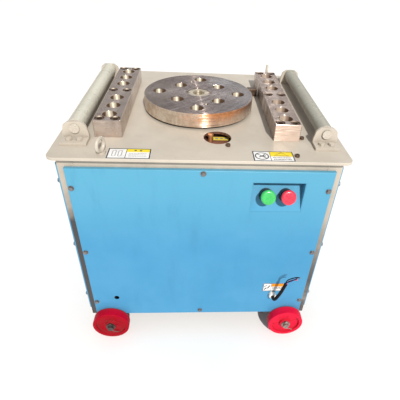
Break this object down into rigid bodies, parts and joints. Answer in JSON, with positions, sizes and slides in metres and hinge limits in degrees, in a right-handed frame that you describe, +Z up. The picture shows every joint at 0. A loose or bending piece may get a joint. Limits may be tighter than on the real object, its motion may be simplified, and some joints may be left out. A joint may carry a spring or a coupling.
{
  "type": "rebar bender",
  "caption": "Wheeled rebar bender: steel table with a motor-driven pin disc between two drilled pin bars and two support rollers, blue panelled cabinet, push buttons and a supply cable.",
  "frame": {"origin": "on the floor, under the middle of the table", "axes": "+Z up, -Y towards the operator's side with the buttons, +X to the operator's right"},
  "size_m": [0.804, 0.8174, 0.7802],
  "materials": {
    "cream_paint": "satin",
    "blue_paint": "satin",
    "red_paint": "gloss",
    "disc_steel": "turned",
    "machined_steel": "ground",
    "turned_steel": "turned",
    "dark_steel": "blackened",
    "plated_steel": "zinc plated",
    "cast_iron": "oily cast",
    "bronze": "machined",
    "plug_brass": "worn",
    "tag_yellow": "gloss",
    "motor_aluminium": "cast",
    "grey_paint": "satin",
    "green_plastic": "gloss",
    "red_plastic": "gloss",
    "black_plastic": "matte",
    "white_plastic": "satin",
    "black_rubber": "matte",
    "red_core": "satin",
    "blue_core": "satin",
    "label_white": "gloss"
  },
  "bodies": {
    "base": {"table_top": "cream_paint", "corner_posts": "cream_paint", "top_rails": "cream_paint", "bottom_rails": "cream_paint", "front_panel": "blue_paint", "rear_panel": "blue_paint", "left_panel": "blue_paint", "right_panel": "blue_paint", "panel_screws": "plated_steel", "button_pocket": "blue_paint", "button_collars": "black_plastic", "switch_blocks": "black_plastic", "cable_gland": "white_plastic", "cable_sheath": "black_rubber", "core_red": "red_core", "core_blue": "blue_core", "core_black": "black_rubber", "table_labels": "label_white", "panel_label": "label_white", "left_pin_block": "machined_steel", "right_pin_block": "machined_steel", "block_bolts": "dark_steel", "block_nuts": "plated_steel", "stop_block": "dark_steel", "roller_brackets": "cream_paint", "bracket_bolts": "cream_paint", "table_screws": "dark_steel", "eyebolts": "cream_paint", "gearbox_housing": "cast_iron", "gearbox_cover": "cast_iron", "cover_bolts": "plated_steel", "oil_plug": "plug_brass", "oil_tag": "tag_yellow", "bearings": "turned_steel", "drive_belts": "black_rubber", "motor_body": "motor_aluminium", "fan_cover": "grey_paint", "motor_mount": "cream_paint", "control_box": "grey_paint", "wheel_axles": "turned_steel", "axle_brackets": "cream_paint", "wheel_washers": "plated_steel", "split_pins": "plated_steel"},
    "disc_assembly": {"working_disc": "disc_steel", "spindle": "turned_steel", "disc_keys": "turned_steel", "worm_wheel": "bronze"},
    "worm_drive": {"worm_shaft": "turned_steel", "worm_pulley": "cast_iron"},
    "motor_rotor": {"motor_shaft": "turned_steel", "motor_pulley": "cast_iron", "motor_fan": "black_plastic"},
    "left_roller": {"left_roller": "cream_paint"},
    "right_roller": {"right_roller": "cream_paint"},
    "start_button": {"start_button": "green_plastic"},
    "stop_button": {"stop_button": "red_plastic"},
    "front_left_wheel": {"front_left_wheel": "red_paint"},
    "front_right_wheel": {"front_right_wheel": "red_paint"},
    "rear_left_wheel": {"rear_left_wheel": "red_paint"},
    "rear_right_wheel": {"rear_right_wheel": "red_paint"}
  },
  "joints": [
    {"name": "disc_spin", "type": "hinge", "parent": "base", "child": "disc_assembly", "pos_m": [-0.012, -0.004, 0.755], "axis": [0, 0, 1], "continuous": true},
    {"name": "worm_spin", "type": "hinge", "parent": "base", "child": "worm_drive", "pos_m": [-0.05, -0.1626, 0.56], "axis": [1, 0, 0], "continuous": true},
    {"name": "motor_spin", "type": "hinge", "parent": "base", "child": "motor_rotor", "pos_m": [-0.05, -0.06, 0.27], "axis": [1, 0, 0], "continuous": true},
    {"name": "left_roller_spin", "type": "hinge", "parent": "base", "child": "left_roller", "pos_m": [-0.346, 0.008, 0.759], "axis": [0, 1, 0], "continuous": true},
    {"name": "right_roller_spin", "type": "hinge", "parent": "base", "child": "right_roller", "pos_m": [0.346, 0.008, 0.759], "axis": [0, 1, 0], "continuous": true},
    {"name": "start_button_press", "type": "slide", "parent": "base", "child": "start_button", "axis": [0, 0.9134, -0.407], "range_m": [0, 0.005], "stiffness_N_per_m": 1200},
    {"name": "stop_button_press", "type": "slide", "parent": "base", "child": "stop_button", "axis": [0, 0.9134, -0.407], "range_m": [0, 0.005], "stiffness_N_per_m": 1200},
    {"name": "front_left_wheel_spin", "type": "hinge", "parent": "base", "child": "front_left_wheel", "pos_m": [-0.313, -0.367, 0.0625], "axis": [0, 1, 0], "continuous": true},
    {"name": "rear_left_wheel_spin", "type": "hinge", "parent": "base", "child": "rear_left_wheel", "pos_m": [-0.313, 0.367, 0.0625], "axis": [0, 1, 0], "continuous": true},
    {"name": "front_right_wheel_spin", "type": "hinge", "parent": "base", "child": "front_right_wheel", "pos_m": [0.313, -0.367, 0.0625], "axis": [0, 1, 0], "continuous": true},
    {"name": "rear_right_wheel_spin", "type": "hinge", "parent": "base", "child": "rear_right_wheel", "pos_m": [0.313, 0.367, 0.0625], "axis": [0, 1, 0], "continuous": true}
  ],
  "couplings": [
    {"joint": "worm_spin", "follows": "disc_spin", "ratio": 40},
    {"joint": "motor_spin", "follows": "disc_spin", "ratio": 100}
  ]
}
